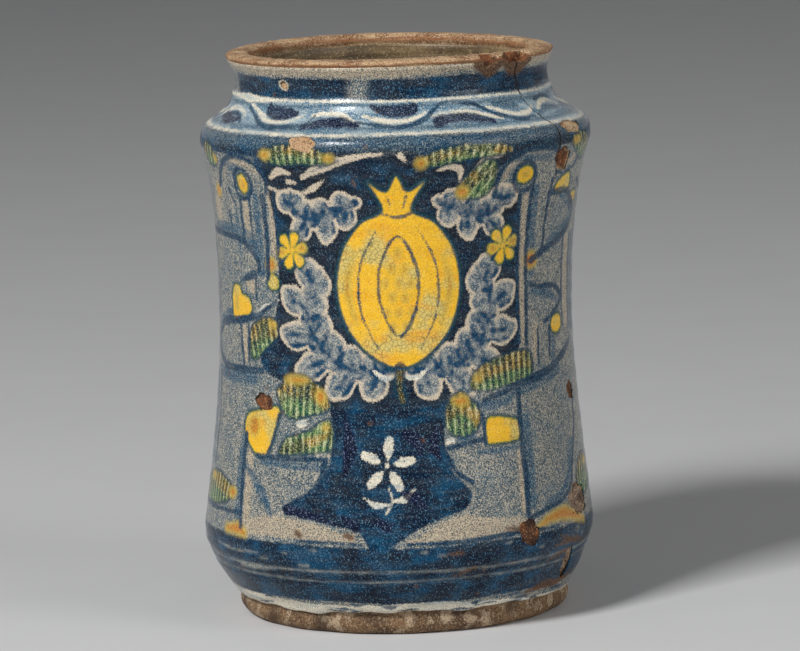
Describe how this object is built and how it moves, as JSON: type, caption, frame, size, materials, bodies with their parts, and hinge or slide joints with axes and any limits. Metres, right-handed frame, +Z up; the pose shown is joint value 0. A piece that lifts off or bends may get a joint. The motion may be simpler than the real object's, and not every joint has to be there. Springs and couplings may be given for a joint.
{
  "type": "albarello",
  "caption": "Waisted pharmacy jar with a flared bare lip, sloping shoulder and chamfered foot, thrown in earthenware and tin-glazed outside and in, for holding salves and dry drugs.",
  "frame": {"origin": "centre of the foot, on the surface that the jar stands on", "axes": "+Z up along the axis that the jar was thrown round, -Y towards the painted front, +X to its right"},
  "size_m": [0.1252, 0.1252, 0.18],
  "materials": {
    "earthenware": "bare fired clay, buff brown, worn and stained",
    "painted_glaze": "glossy tin glaze painted in blue, yellow and green, finely crackled and pitted",
    "lining_glaze": "thin brownish glaze lining, satin, stained"
  },
  "bodies": {
    "root": {"earthenware_body": "earthenware", "outer_glaze": "painted_glaze", "inner_glaze": "lining_glaze"}
  },
  "joints": []
}
